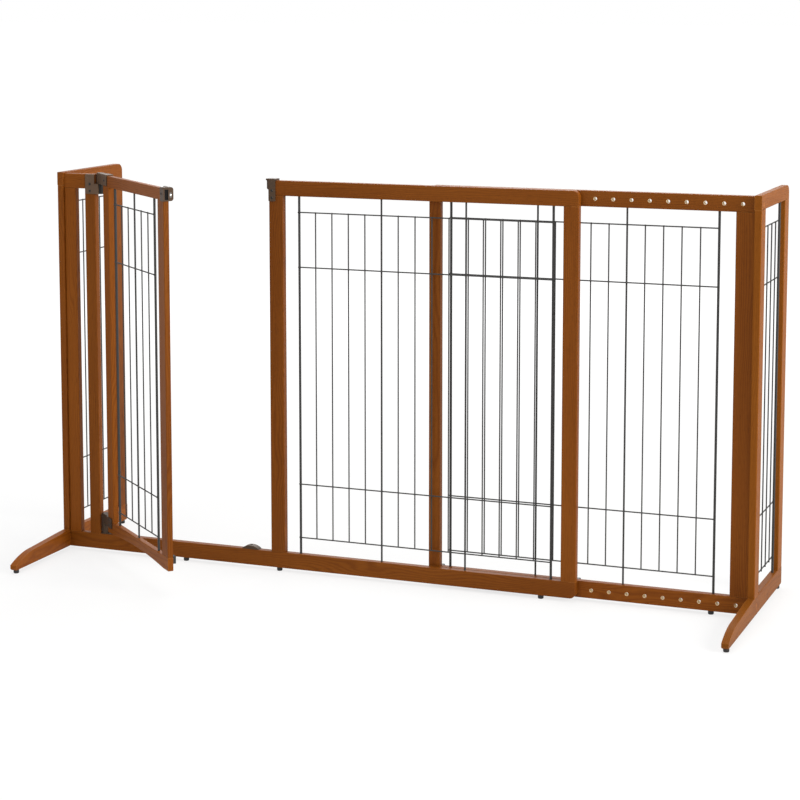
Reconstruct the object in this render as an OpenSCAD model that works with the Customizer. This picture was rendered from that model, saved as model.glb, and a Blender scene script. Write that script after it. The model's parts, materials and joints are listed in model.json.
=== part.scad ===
// Free-standing pet gate: a front frame with a swinging door, a frame that slides behind it,
// and two side panels with feet. Sizes in millimetres, +Z up, the gate's width along X, and
// its front towards -Y. The origin is on the floor, in the middle of the gate's outline.

/* [Frames] */
// Height of the front and sliding frames above the floor
frame_h = 920; // [860:1:960]
// Thickness of the frame boards
board_t = 18; // [16:0.5:22]
// Height of a frame's top rail
top_rail_h = 35; // [30:0.5:40]
// Height of a frame's bottom rail
bottom_rail_h = 37.5; // [32:0.5:42]
// Width of the front frame's latch stile and right stile
stile_w = 35; // [32:0.5:40]
// Width of the sliding frame's inner stile
inner_stile_w = 27; // [24:0.5:30]
// Width of the sliding frame's outer stile and of the side panels' stiles
wide_stile_w = 42; // [38:0.5:46]
// Gap between the front frame and the sliding frame
slide_gap = 0.4; // [0.3:0.05:0.8]
// Radius of the eased edges of the boards
edge_r = 2; // [1:0.25:3]
// Radius of the frames' rounded outer corners
corner_r = 14; // [8:0.5:16]

/* [Doorway] */
// Clear width between the hinge post and the latch stile
doorway_w = 455.5; // [440:0.5:500]
// Width of the hinge post
post_w = 28; // [26:0.5:32]
// Gap between the left stile and the hinge post
side_gap = 25.5; // [18:0.5:32]
// Width of the left stile
left_stile_w = 30; // [26:0.5:34]

/* [Mesh] */
// Distance between the centres of two upright wires
mesh_pitch = 40.7; // [36:0.1:42]
// Diameter of the thick end wires
thick_wire_d = 5.6; // [5:0.1:6.4]
// Diameter of the middle supporting wires
medium_wire_d = 4.2; // [3.6:0.1:4.8]
// Diameter of the thin wires
thin_wire_d = 3; // [2.6:0.1:3.4]
// Number of cells across a frame's mesh
frame_cells = 15; // [15]
// Wide margin between a thick wire and its stile
wide_margin = 37.5; // [34:0.5:42]
// Narrow margin between a thick wire and the front frame's right stile
narrow_margin = 25; // [20:0.5:30]
// Narrow margin between a thick wire and the sliding frame's inner stile
inner_margin = 23; // [20:0.5:30]
// Height of the lowest cross wire above the bottom rail
low_cross_rise = 39; // [30:0.5:46]
// Distance from the highest cross wire up to the top rail
top_cross_drop = 37; // [30:0.5:44]
// Distance from a cross wire at either end to the next one
cross_step = 127; // [100:1:140]
// Depth of the holes that the thick and medium wires stand in
wire_socket = 8; // [5:0.5:10]

/* [Sliding frame] */
// Diameter of the adjustment holes and of the threaded holes behind the front rails
hole_d = 8; // [7:0.5:9]
// Distance from the sliding frame's outer end to its first adjustment hole
hole_inset = 27.5; // [24:0.5:32]
// Number of adjustment holes in each sliding rail
hole_count = 18; // [18]
// Distance from the front frame's right end to the lock bolts
lock_inset = 9.3; // [8:0.1:12]
// Adjustment hole that the lock bolts stand in
lock_hole = 9; // [6:1:14]

/* [Side panels] */
// Distance that the side panels stand above the frames
panel_rise = 3; // [0:0.5:8]
// Thickness of the side panels
panel_t = 16; // [14:0.5:20]
// Depth of a side panel without its foot
panel_depth = 292; // [280:1:320]
// Height of a side panel's top rail
panel_top_rail_h = 32; // [28:0.5:38]
// Height of the foot rail where it carries the panel
foot_rail_h = 41; // [37:0.5:46]
// Distance that the left panel's front edge stands in front of its frame
left_proud = 5; // [2:0.5:8]
// Distance that the right panel's front edge stands in front of its frame
right_proud = 14; // [4:0.5:18]
// Radius of the panels' rounded top corner
panel_corner_r = 18; // [12:1:22]
// Distance that the feet reach forward from the panels
foot_reach = 245; // [220:1:270]
// Height that the foot's top edge falls before its nose
foot_taper = 8; // [4:0.5:12]
// Length of the foot's curved nose
nose_len = 92; // [80:1:110]
// Height of the foot's blunt tip
tip_h = 12; // [10:0.5:16]

/* [Pads] */
// Height of the rubber pads under the wood
pad_h = 8.5; // [6:0.5:10]
// Diameter of the rubber pads
pad_d = 13; // [11:0.5:15]

/* [Door] */
// Angle at which the door stands open
door_angle = 41.5; // [30:0.5:60]
// Thickness of the door
door_t = 13; // [12:0.5:14]
// Distance from the hinge post to the hinge axis
axis_gap = 9.5; // [9:0.25:11]
// Distance from the hinge axis to the door
hinge_reach = 37; // [33:0.5:38]
// Gap between the closed door and the latch stile
latch_gap = 8.3; // [7.8:0.1:9]
// Height of the door's top edge above the frame
door_rise = 1; // [0:0.5:2]
// Gap between the door's lower corners and the threshold
door_clearance = 12; // [11:0.5:16]
// Width of the door's stiles
door_stile_w = 38; // [34:0.5:42]
// Height of the door's top rail
door_top_rail_h = 27; // [26:0.5:32]
// Height of the door's bottom rail
door_bottom_rail_h = 30; // [26:0.5:34]
// Rise of the arch under the door
arch_rise = 9; // [6:0.5:12]
// Length of the flat at each end of the arch
arch_flat = 22; // [16:1:40]
// Number of cells across the door's mesh
door_cells = 6; // [6]
// Distance from the door's hinge stile to its first wire
door_mesh_margin = 30; // [26:0.5:34]
// Distance from the door's last wire to its latch stile
door_far_margin = 35.5; // [30:0.5:40]
// Distance from the door's lowest cross wire to its bottom rail
door_low_rise = 33; // [26:0.5:40]

/* [Hinges and latch] */
// Thickness of the metal plates
plate_t = 2.5; // [2:0.1:3]
// Distance from the frame's top to the upper screw of the post and strike plates
high_screw_drop = 23.5; // [20:0.5:26]
// Distance from the frame's top to the lower screw of the post and strike plates
low_screw_drop = 40; // [38:0.5:42]
// Distance from the door's top to the screws in its top rail
top_rail_screw_drop = 12; // [10:0.5:14]
// Distance that the hinge pins are seated below and above their brackets' faces
pin_seat = 4; // [3:0.5:6]
// Distance from the post's left edge to the upper plate
plate_inset = 3; // [2:0.5:5]
// Radius of the hinge pins
pin_r = 3.5; // [3:0.25:4]
// Height of a post bracket's ear
ear_h = 24; // [20:0.5:28]
// Height of the upper post plate
plate_drop = 47; // [44:0.5:50]
// Length of the lower bracket's flange along the threshold
flange_reach = 24; // [20:0.5:28]
// Radius of the hinge knuckles
knuckle_r = 8; // [7:0.25:8.5]
// Length of a door bracket's wrap over the door
wrap_len = 30; // [20:0.5:34]
// Height of a door bracket
bracket_h = 24; // [20:0.5:26]
// Distance that the strike's lug stands out from the latch stile
lug_reach = 6; // [5:0.1:6.4]
// Height of the strike's lug
lug_h = 24; // [20:0.5:28]
// Height of the latch housing
latch_h = 27; // [24:0.5:30]
// Length of the latch housing's hood along the door
latch_len = 14; // [12:0.5:20]
// Length of the latch slide's guide along the door
guide_len = 34; // [30:0.5:40]
// Thickness of the latch housing's end plate
end_plate_t = 1.5; // [1.2:0.1:1.8]
// Radius of the latch housing's rear corners
hood_r = 6; // [4:0.5:7]
// Height of the latch slide
slide_h = 11; // [9:0.5:13]
// Thickness of the latch slide
slide_t = 5; // [4:0.1:5.4]
// Travel of the latch slide
slide_travel = 6.5; // [5.5:0.1:6.5]
// Radius of the latch slide's knob
slide_knob_r = 2.5; // [2:0.1:3]
// Width of the strike's plate
strike_w = 17; // [14:0.5:20]
// Height of the strike's plate
strike_h = 48; // [46:0.5:52]
// Length of the strike's cap over the latch stile
strike_cap_w = 19; // [17:0.5:32]
// Thickness of the strike's cap
strike_cap_t = 4; // [2.5:0.5:5]
// Width of the door's bumper
bumper_w = 14; // [12:0.5:18]
// Thickness of the door's bumper
bumper_t = 6.5; // [6:0.25:8]
// Height of the door's bumper
bumper_h = 17; // [15:0.5:22]
// Depth of the screw's recess in the bumper
bumper_recess = 3; // [2:0.25:4]
// Depth of the screw's recess in the dome
dome_recess = 3; // [2:0.25:4]
// Position of the dome along the doorway, from the latch stile
dome_inset = 55; // [45:1:120]
// Length of the threshold dome
dome_len = 44; // [36:1:50]
// Height of the threshold dome
dome_h = 9; // [6:0.5:9.5]

/* [Lock bolts] */
// Diameter of a lock bolt's knob
knob_d = 30; // [24:1:32]
// Height of a lock bolt's knob
knob_h = 13; // [10:0.5:18]
// Travel of a lock bolt from free to locked
lock_travel = 10; // [8:0.5:11]

/* [Fits] */
// Radial clearance of pins, studs and shanks in their holes
run_fit = 0.05; // [0.02:0.01:0.1]
// Gap between parts that lie close to each other
seat_gap = 0.3; // [0.2:0.05:0.5]
// Radius of a wood screw's shank
screw_r = 1.6; // [1.2:0.1:2]
// Radius of a wood screw's head
screw_head_r = 3.2; // [2.6:0.1:3.6]
// Height of a wood screw's head
screw_head_h = 1.2; // [1:0.1:1.6]
// Length of a wood screw's shank
screw_len = 11; // [8:0.5:12]
// Radius of a panel bolt's shank
bolt_r = 3; // [2.5:0.25:3.5]
// Radius of a panel bolt's head
bolt_head_r = 6; // [5:0.25:7]
// Height of a panel bolt's flush head
bolt_head_h = 3; // [2:0.25:4]
// Thickness of the wooden plug over a panel bolt
plug_t = 3; // [2:0.25:4]
// Distance that a panel bolt reaches into the frame
bolt_reach = 17; // [12:0.5:18]

/* [Hidden] */
$fn = 32;

// Colours
wood = "#8a4c22";
wood_light = "#a86632";
wire = "#4a4845";
hardware = "#5b4a40";
steel = "#c8c8c8";
rubber = "#1c1a19";
knob_colour = "#2a2624";

// Front frame, measured from the latch stile's left edge
mesh_w = frame_cells * mesh_pitch;
front_len = 2 * stile_w + wide_margin + mesh_w + narrow_margin;
post_x = -doorway_w - post_w;
left_end = post_x - side_gap - left_stile_w;
rail_top = pad_h + bottom_rail_h;
rail_under = frame_h - top_rail_h;
stile_h = rail_under - rail_top;
right_stile_x = front_len - stile_w;
low_cross = rail_top + low_cross_rise;
high_cross = rail_under - top_cross_drop;
frame_crosses = [low_cross, low_cross + cross_step, high_cross - cross_step, high_cross];
mid_y = board_t / 2;
top_hole_z = frame_h - top_rail_h / 2;
bottom_hole_z = pad_h + bottom_rail_h / 2;

// Sliding frame
sliding_y = board_t + slide_gap;
sliding_len = inner_stile_w + inner_margin + mesh_w + wide_margin + wide_stile_w;
hole_x = [for (i = [0 : hole_count - 1]) sliding_len - hole_inset - i * mesh_pitch];
sliding_x = front_len - lock_inset - hole_x[lock_hole];
sliding_back = sliding_y + board_t;
lock_x = [hole_x[lock_hole], hole_x[hole_count - 1]];
insert_x = [for (i = [0 : hole_count - 1]) front_len - lock_inset - i * mesh_pitch];
insert_depth = lock_travel + 1;
stud_r = hole_d / 2 - 2 * run_fit;

// Side panels, each in its own place: X is the panel's inner face, Y its front edge
left_panel_y = -left_proud;
right_panel_x = sliding_x + sliding_len;
right_panel_y = sliding_y - right_proud;
panel_h = frame_h + panel_rise;
foot_top = pad_h + foot_rail_h;
panel_under = panel_h - panel_top_rail_h;
panel_cells = 4;
panel_margin = (panel_depth - 2 * wide_stile_w - panel_cells * mesh_pitch) / 2;
left_bolt_y = mid_y - left_panel_y;
right_bolt_y = sliding_y + mid_y - right_panel_y;
panel_bolt_z = [bottom_hole_z, top_hole_z];

// Door, in its own frame: X along the door from the hinge axis, Y through its thickness
axis_x = -doorway_w + axis_gap;
axis_y = mid_y;
door_end = -latch_gap - axis_x;
door_len = door_end - hinge_reach;
door_half = door_t / 2;
door_top = frame_h + door_rise;
door_bottom = rail_top + door_clearance;
door_rail_top = door_bottom + door_bottom_rail_h;
door_rail_under = door_top - door_top_rail_h;
door_mesh_x = hinge_reach + door_stile_w + door_mesh_margin;
door_pitch = (door_end - door_stile_w - door_far_margin - door_mesh_x) / door_cells;
door_crosses = [door_rail_top + door_low_rise, low_cross + cross_step, high_cross - cross_step,
                door_rail_under - top_cross_drop];

// Hinges
ear_z = frame_h - plate_drop;
ear_top = ear_z + ear_h;
lower_ear_h = ear_h + 2;
wrap_out = door_half + plate_t;
upper_bracket_z = ear_top + seat_gap;
lower_bracket_z = rail_top + lower_ear_h + seat_gap;
pin_foot = rail_top + pin_seat;
lower_pin_top = lower_bracket_z + bracket_h - pin_seat;
upper_pin_top = door_top - pin_seat;
plate_x = post_x + plate_inset;
plate_w = post_w - plate_inset - 1;
plate_screws = [frame_h - low_screw_drop, frame_h - high_screw_drop];
flange_screw_x = axis_x + flange_reach - 2 * screw_head_r;
wrap_screw_x = hinge_reach + wrap_len / 2;
upper_wrap_screw = door_top - top_rail_screw_drop;
lower_wrap_screws = [lower_bracket_z + 6.5, door_rail_top + 4];

// Latch and strike
latch_top = frame_h - 0.5;
latch_z = latch_top - latch_h;
latch_x = door_end - latch_len;
latch_reach = door_end + latch_gap - 1;
latch_front = door_half + seat_gap;
latch_screw_x = door_end - latch_len / 2;
latch_screw_z = door_top - top_rail_screw_drop;
slide_y = latch_front + 1.2;
guide_t = slide_t + 2 * plate_t;
guide_back = latch_front + guide_t;
guide_x = door_end - guide_len;
slide_z = latch_z + (latch_h - slide_h) / 2;
slide_len = guide_len - 4;
slide_x = door_end + 1 - slide_len;
slide_knob_x = slide_x + 8;
lug_front = axis_y - latch_front + seat_gap;
lug_back = axis_y + slide_y - seat_gap;
lug_z = frame_h - lug_h + 5;
bumper_z = door_bottom + 16;
bumper_screw_x = door_end - bumper_w / 2;
bumper_screw_z = bumper_z + bumper_h / 2 - 3;

dome_x = -dome_inset;

// Lock bolts: how far a knob stands behind the sliding frame's front face
knob_face = board_t + seat_gap + lock_travel;

// Outline of the whole gate, which puts the origin in its middle
min_x = left_end - panel_t;
max_x = right_panel_x + panel_t;
door_reach_y = axis_y - latch_reach * sin(door_angle) - (latch_front + plate_t) * cos(door_angle);
min_y = min(door_reach_y, left_panel_y - foot_reach);
max_y = max(left_panel_y, right_panel_y) + panel_depth;
mid_x = (min_x + max_x) / 2;
middle_y = (min_y + max_y) / 2;

module placed() translate([-mid_x, -middle_y, 0]) children();

module on_sliding() placed() translate([sliding_x, sliding_y, 0]) children();

module on_door() placed() translate([axis_x, axis_y, 0]) rotate([0, 0, -door_angle]) children();

// Rectangle with round corners
module round_rect(a, b, r) {
  translate([r, 0]) square([a - 2 * r, b]);
  translate([0, r]) square([a, b - 2 * r]);
  for (x = [r, a - r], y = [r, b - r]) translate([x, y]) circle(r);
}

// Boards with eased long edges, running along one axis
module board_x(len, t, h, r = edge_r) rotate([90, 0, 90]) linear_extrude(len) round_rect(t, h, r);

module board_y(t, len, h, r = edge_r)
  translate([0, len, 0]) rotate([90, 0, 0]) linear_extrude(len) round_rect(t, h, r);

module board_z(w, t, len, r = edge_r) linear_extrude(len) round_rect(w, t, r);

// Board along X whose upper corner at its far end is round, with the eased edges following it
module corner_board(len, t, h, r) {
  board_x(len - r, t, h);
  translate([len - r - 2 * edge_r, 0, 0]) linear_extrude(h - r) round_rect(r + 2 * edge_r, t, edge_r);
  translate([len - r, t, h - r]) rotate([90, 0, 0]) rotate_extrude(angle = 90, $fn = 96) {
    square([r - edge_r, t]);
    translate([0, edge_r]) square([r, t - 2 * edge_r]);
    for (y = [edge_r, t - edge_r]) translate([r - edge_r, y]) circle(edge_r);
  }
}

// The same board with its round corner at the lower edge
module low_corner_board(len, t, h, r) translate([0, 0, h]) mirror([0, 0, 1]) corner_board(len, t, h, r);

// Upright wires from z0 to z1 and the cross wires that join them
module wire_mesh(cells, pitch, crosses, z0, z1, middle) {
  thin = thin_wire_d / 2;
  for (i = [0 : cells]) {
    long = i == 0 || i == cells || i % middle == 0;
    r = i == 0 || i == cells ? thick_wire_d / 2 : (long ? medium_wire_d / 2 : thin);
    low = long ? z0 : crosses[0] - thin;
    high = long ? z1 : crosses[3] + thin;
    translate([i * pitch, 0, low]) cylinder(high - low, r = r);
  }
  for (z = crosses)
    translate([0, 0.4 - thin_wire_d, z]) rotate([0, 90, 0]) cylinder(cells * pitch, r = thin);
}

// Holes that the long wires stand in
module wire_sockets(cells, pitch, z, middle)
  for (i = [0 : cells])
    if (i == 0 || i == cells || i % middle == 0)
      translate([i * pitch, 0, z - 1]) cylinder(wire_socket + seat_gap + 1,
        r = (i == 0 || i == cells ? thick_wire_d : medium_wire_d) / 2 + run_fit);

// Wood screw along +Z with a cross in its head, and the hole for it
module screw() difference() {
  union() {
    translate([0, 0, -screw_head_h]) cylinder(screw_head_h, screw_head_r * 0.75, screw_head_r);
    translate([0, 0, -screw_head_h / 2]) cylinder(screw_len + screw_head_h / 2, r = screw_r);
  }
  for (turn = [0, 90]) rotate([0, 0, turn])
    translate([-screw_head_r / 2, -0.4, -screw_head_h - 1]) cube([screw_head_r, 0.8, 1.8]);
}

module screw_hole(len = screw_len + seat_gap)
  translate([0, 0, -4]) cylinder(len + 4, r = screw_r + run_fit);

module facing_back(x, y, z) translate([x, y, z]) rotate([-90, 0, 0]) children();

module facing_front(x, y, z) translate([x, y, z]) rotate([90, 0, 0]) children();

module facing_down(x, y, z) translate([x, y, z]) rotate([180, 0, 0]) children();

module pad(x, y) translate([x, y, 0]) {
  cylinder(1.5, pad_d / 2 - 1, pad_d / 2);
  translate([0, 0, 1.5]) cylinder(pad_h - 1.5, r = pad_d / 2);
}

// ---- Front frame ----
module insert_row(z)
  for (x = insert_x) facing_back(x, board_t - insert_depth, z) cylinder(insert_depth + 1, r = hole_d / 2);

module threshold_rail() color(wood) placed() difference() {
  translate([left_end, 0, pad_h])
    low_corner_board(front_len - left_end, board_t, bottom_rail_h, corner_r);
  insert_row(bottom_hole_z);
  translate([stile_w + wide_margin, mid_y, 0]) mirror([0, 0, 1])
    wire_sockets(frame_cells, mesh_pitch, -rail_top, 5);
  translate([left_end, 0, 0]) side_bolt_hole(mid_y, bottom_hole_z);
  facing_down(flange_screw_x, mid_y, rail_top) screw_hole();
  facing_down(dome_x, mid_y, rail_top) screw_hole();
}

module left_stile() color(wood) placed()
  translate([left_end, 0, rail_top]) board_z(left_stile_w, board_t, stile_h);

module short_top_rail() color(wood) placed() difference() {
  translate([left_end, 0, rail_under]) board_x(post_x - left_end, board_t, top_rail_h);
  translate([left_end, 0, 0]) side_bolt_hole(mid_y, top_hole_z);
}

module hinge_post() color(wood) placed() difference() {
  translate([post_x, 0, rail_top]) board_z(post_w, board_t, frame_h - rail_top);
  for (z = plate_screws) facing_back(plate_x + plate_w / 2, 0, z) screw_hole();
}

module latch_stile() color(wood) placed() difference() {
  translate([0, 0, rail_top]) board_z(stile_w, board_t, stile_h);
  for (z = plate_screws) if (z < rail_under) facing_back(strike_w / 2, 0, z) screw_hole();
}

module front_top_rail() color(wood) placed() difference() {
  translate([0, 0, rail_under]) corner_board(front_len, board_t, top_rail_h, corner_r);
  insert_row(top_hole_z);
  translate([stile_w + wide_margin, mid_y, 0]) wire_sockets(frame_cells, mesh_pitch, rail_under, 5);
  for (z = plate_screws) if (z >= rail_under) facing_back(strike_w / 2, 0, z) screw_hole();
}

module right_stile() color(wood) placed()
  translate([right_stile_x, 0, rail_top]) board_z(stile_w, board_t, stile_h);

module front_mesh() color(wire) placed() translate([stile_w + wide_margin, mid_y, 0])
  wire_mesh(frame_cells, mesh_pitch, frame_crosses, rail_top - wire_socket, rail_under + wire_socket, 5);

module front_pads() color(rubber) placed()
  for (x = [-doorway_w / 2, stile_w / 2, front_len - 2 * stile_w - pad_d]) pad(x, mid_y);

// ---- Side panels ----
// Hole for a panel bolt in the end of a frame, which lies at the origin and runs along +X
module side_bolt_hole(y, z) translate([-1, y, z]) rotate([0, 90, 0])
  cylinder(bolt_reach + seat_gap + 1, r = bolt_r + run_fit);

// A side panel stands in the YZ plane with its inner face at x = 0 and its body towards -x
module panel_bolt_holes(bolt_y, z)
  translate([-panel_t - 1, bolt_y, z]) rotate([0, 90, 0]) {
    cylinder(panel_t + 2, r = bolt_r + run_fit);
    cylinder(plug_t + bolt_head_h + 1, r = bolt_head_r + run_fit);
  }

module panel_stile(rear)
  translate([-panel_t, rear ? panel_depth - wide_stile_w : 0, foot_top])
    board_z(panel_t, wide_stile_w, panel_under - foot_top);

module panel_top_rail(bolt_y) difference() {
  translate([0, 0, panel_under]) rotate([0, 0, 90])
    corner_board(panel_depth, panel_t, panel_top_rail_h, panel_corner_r);
  panel_bolt_holes(bolt_y, panel_bolt_z[1]);
  panel_sockets(panel_under, false);
}

module panel_sockets(z, down)
  translate([-panel_t / 2, wide_stile_w + panel_margin, 0]) rotate([0, 0, 90])
    mirror([0, 0, down ? 1 : 0]) wire_sockets(panel_cells, mesh_pitch, down ? -z : z, panel_cells);

// Side view of the foot rail: flat below, its top edge falling to a curved nose in front
module foot_outline() {
  shoulder = foot_rail_h - foot_taper;
  fall = shoulder - tip_h;
  nose_r = (nose_len * nose_len + fall * fall) / (2 * fall);
  difference() {
    polygon([[panel_depth - 5, 0], [panel_depth, 5], [panel_depth, foot_rail_h], [0, foot_rail_h],
             [nose_len - foot_reach, shoulder], [-foot_reach, shoulder], [-foot_reach, 4],
             [4 - foot_reach, 0]]);
    difference() {
      translate([-foot_reach - 1, 5]) square([nose_len + 1, foot_rail_h]);
      translate([nose_len - foot_reach, shoulder - nose_r]) circle(nose_r, $fn = 256);
    }
  }
}

module foot_rail(bolt_y) difference() {
  intersection() {
    translate([-panel_t, 0, pad_h]) rotate([90, 0, 90]) linear_extrude(panel_t) foot_outline();
    translate([-panel_t, -foot_reach, pad_h]) board_y(panel_t, foot_reach + panel_depth, foot_rail_h);
  }
  panel_bolt_holes(bolt_y, panel_bolt_z[0]);
  panel_sockets(foot_top, true);
}

module panel_mesh()
  translate([-panel_t / 2, wide_stile_w + panel_margin, 0]) rotate([0, 0, 90])
    wire_mesh(panel_cells, mesh_pitch, frame_crosses, foot_top - wire_socket,
              panel_under + wire_socket, panel_cells);

module panel_pads() {
  pad(-panel_t / 2, -foot_reach + pad_d);
  pad(-panel_t / 2, panel_depth - pad_d);
}

module panel_bolts(bolt_y) for (z = panel_bolt_z)
  translate([plug_t - panel_t, bolt_y, z]) rotate([0, 90, 0]) {
    cylinder(panel_t - plug_t + bolt_reach, r = bolt_r);
    difference() {
      cylinder(bolt_head_h, r = bolt_head_r);
      translate([0, 0, -1]) cylinder(bolt_head_h, r = bolt_r * 0.66, $fn = 6);
    }
  }

module panel_plugs(bolt_y) for (z = panel_bolt_z)
  translate([-panel_t, bolt_y, z]) rotate([0, 90, 0]) cylinder(plug_t, r = bolt_head_r);

module on_left() placed() translate([left_end, left_panel_y, 0]) children();

module on_right() placed() translate([right_panel_x, right_panel_y, 0]) mirror([1, 0, 0]) children();

module left_panel_front_stile() color(wood_light) on_left() panel_stile(false);
module left_panel_rear_stile() color(wood_light) on_left() panel_stile(true);
module left_panel_top_rail() color(wood_light) on_left() panel_top_rail(left_bolt_y);
module left_foot_rail() color(wood_light) on_left() foot_rail(left_bolt_y);
module left_panel_mesh() color(wire) on_left() panel_mesh();
module left_panel_pads() color(rubber) on_left() panel_pads();
module left_panel_bolts() color(hardware) on_left() panel_bolts(left_bolt_y);
module left_panel_plugs() color(wood_light) on_left() panel_plugs(left_bolt_y);

module right_panel_front_stile() color(wood_light) on_right() panel_stile(false);
module right_panel_rear_stile() color(wood_light) on_right() panel_stile(true);
module right_panel_top_rail() color(wood_light) on_right() panel_top_rail(right_bolt_y);
module right_foot_rail() color(wood_light) on_right() foot_rail(right_bolt_y);
module right_panel_mesh() color(wire) on_right() panel_mesh();
module right_panel_pads() color(rubber) on_right() panel_pads();
module right_panel_bolts() color(hardware) on_right() panel_bolts(right_bolt_y);
module right_panel_plugs() color(wood_light) on_right() panel_plugs(right_bolt_y);

// ---- Sliding frame ----
module sliding_rail(z, h, top) difference() {
  translate([sliding_len, 0, z]) mirror([1, 0, 0])
    if (top) corner_board(sliding_len, board_t, h, corner_r);
    else low_corner_board(sliding_len, board_t, h, corner_r);
  for (x = hole_x) facing_back(x, -1, z + h / 2) cylinder(board_t + 2, r = hole_d / 2);
  translate([sliding_len, 0, 0]) mirror([1, 0, 0]) side_bolt_hole(mid_y, z + h / 2);
  translate([inner_stile_w + inner_margin, mid_y, 0]) mirror([0, 0, top ? 0 : 1])
    wire_sockets(frame_cells, mesh_pitch, top ? z : -z - h, 5);
}

module sliding_inner_stile() color(wood) on_sliding()
  translate([0, 0, rail_top]) board_z(inner_stile_w, board_t, stile_h);

module sliding_outer_stile() color(wood) on_sliding()
  translate([sliding_len - wide_stile_w, 0, rail_top]) board_z(wide_stile_w, board_t, stile_h);

module sliding_top_rail() color(wood) on_sliding() sliding_rail(rail_under, top_rail_h, true);

module sliding_bottom_rail() color(wood) on_sliding() sliding_rail(pad_h, bottom_rail_h, false);

module sliding_mesh() color(wire) on_sliding() translate([inner_stile_w + inner_margin, mid_y, 0])
  wire_mesh(frame_cells, mesh_pitch, frame_crosses, rail_top - wire_socket, rail_under + wire_socket, 5);

module sliding_pad() color(rubber) on_sliding() pad(sliding_len - 2 * wide_stile_w, mid_y);

// ---- Door ----
module door_stile(x) translate([x, -door_half, door_rail_top])
  board_z(door_stile_w, door_t, door_rail_under - door_rail_top, 1.5);

module door_hinge_stile() color(wood_light) on_door() difference() {
  door_stile(hinge_reach);
  facing_back(wrap_screw_x, -door_half, lower_wrap_screws[1]) screw_hole(door_t - 3);
}

module door_latch_stile() color(wood_light) on_door() door_stile(door_end - door_stile_w);

module door_top_rail() color(wood_light) on_door() difference() {
  translate([hinge_reach, -door_half, door_rail_under])
    board_x(door_len, door_t, door_top_rail_h, 1.5);
  translate([door_mesh_x, 0, 0]) wire_sockets(door_cells, door_pitch, door_rail_under, 3);
  facing_back(wrap_screw_x, -door_half, upper_wrap_screw) screw_hole(door_t - 3);
  facing_back(latch_screw_x, -door_half, latch_screw_z) screw_hole(door_t - 3);
}

// The bottom rail's lower edge is flat at both ends and arched between them
module door_bottom_rail() color(wood_light) on_door() {
  span = door_len - 2 * arch_flat;
  arch_r = (span * span / 4 + arch_rise * arch_rise) / (2 * arch_rise);
  difference() {
    translate([hinge_reach, -door_half, door_bottom])
      board_x(door_len, door_t, door_bottom_rail_h, 1.5);
    translate([hinge_reach + door_len / 2, 0, door_bottom + arch_rise - arch_r]) rotate([90, 0, 0])
      cylinder(door_t + 2, r = arch_r, center = true, $fn = 256);
    translate([door_mesh_x, 0, 0]) mirror([0, 0, 1])
      wire_sockets(door_cells, door_pitch, -door_rail_top, 3);
    facing_back(wrap_screw_x, -door_half, lower_wrap_screws[0]) screw_hole(door_t - 3);
    facing_front(bumper_screw_x, door_half, bumper_screw_z) screw_hole(door_t - 3);
  }
}

module door_mesh() color(wire) on_door() translate([door_mesh_x, 0, 0])
  wire_mesh(door_cells, door_pitch, door_crosses, door_rail_top - wire_socket,
            door_rail_under + wire_socket, 3);

// ---- Hinges ----
module upper_post_bracket() color(hardware) placed() difference() {
  union() {
    translate([plate_x, 0, ear_z]) rotate([90, 0, 0]) linear_extrude(plate_t)
      round_rect(plate_w, frame_h - ear_z, 3);
    translate([plate_x + plate_w - 6, -plate_t, ear_z])
      cube([axis_x - plate_x - plate_w + 6, plate_t, ear_h]);
    translate([post_x + post_w + seat_gap, -plate_t / 2, ear_z])
      cube([axis_gap - seat_gap, axis_y + knuckle_r + plate_t / 2, ear_h]);
    translate([axis_x, axis_y, ear_z]) cylinder(ear_h, r = knuckle_r);
  }
  translate([axis_x, axis_y, ear_z - 1]) cylinder(ear_h + 2, r = pin_r + run_fit);
  for (z = plate_screws) facing_back(plate_x + plate_w / 2, -plate_t, z) screw_hole();
}

module lower_post_bracket() color(hardware) placed() difference() {
  union() {
    translate([axis_x, axis_y, rail_top]) cylinder(lower_ear_h, r = knuckle_r);
    translate([axis_x - knuckle_r, axis_y - knuckle_r + 0.5, rail_top])
      cube([knuckle_r + flange_reach, 2 * knuckle_r - 1, plate_t]);
    translate([axis_x, axis_y - plate_t / 2, rail_top]) cube([knuckle_r + plate_t, plate_t, lower_ear_h / 2]);
  }
  translate([axis_x, axis_y, pin_foot]) cylinder(lower_ear_h, r = pin_r + run_fit);
  facing_down(flange_screw_x, mid_y, rail_top + plate_t) screw_hole();
}

module lower_hinge_pin() color(steel) placed()
  translate([axis_x, axis_y, pin_foot]) cylinder(lower_pin_top - pin_foot, r = pin_r);

module upper_hinge_pin() color(steel) on_door()
  translate([0, 0, ear_z + 2]) cylinder(upper_pin_top - ear_z - 2, r = pin_r);

// Channel that wraps the door's edge, with an arm to the hinge axis
module door_bracket(z, h, cap) {
  translate([0, 0, z]) cylinder(h + cap, r = knuckle_r);
  translate([0, -door_half, z]) cube([hinge_reach, door_t, h + cap]);
  for (y = [-wrap_out, door_half - 0.5])
    translate([hinge_reach - 6, y, z]) cube([6, plate_t + 0.5, h + cap]);
  for (y = [-wrap_out, door_half])
    translate([hinge_reach - 3, y, z]) cube([wrap_len + 3, plate_t, h + cap]);
  if (cap > 0)
    translate([hinge_reach - 3, -wrap_out, z + h]) cube([wrap_len + 3, 2 * wrap_out, cap]);
}

module upper_door_bracket() color(hardware) on_door() difference() {
  door_bracket(upper_bracket_z, door_top - upper_bracket_z, plate_t);
  translate([0, 0, upper_bracket_z - 1])
    cylinder(upper_pin_top - upper_bracket_z + 1, r = pin_r + run_fit);
  facing_back(wrap_screw_x, -wrap_out, upper_wrap_screw) screw_hole();
}

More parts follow.
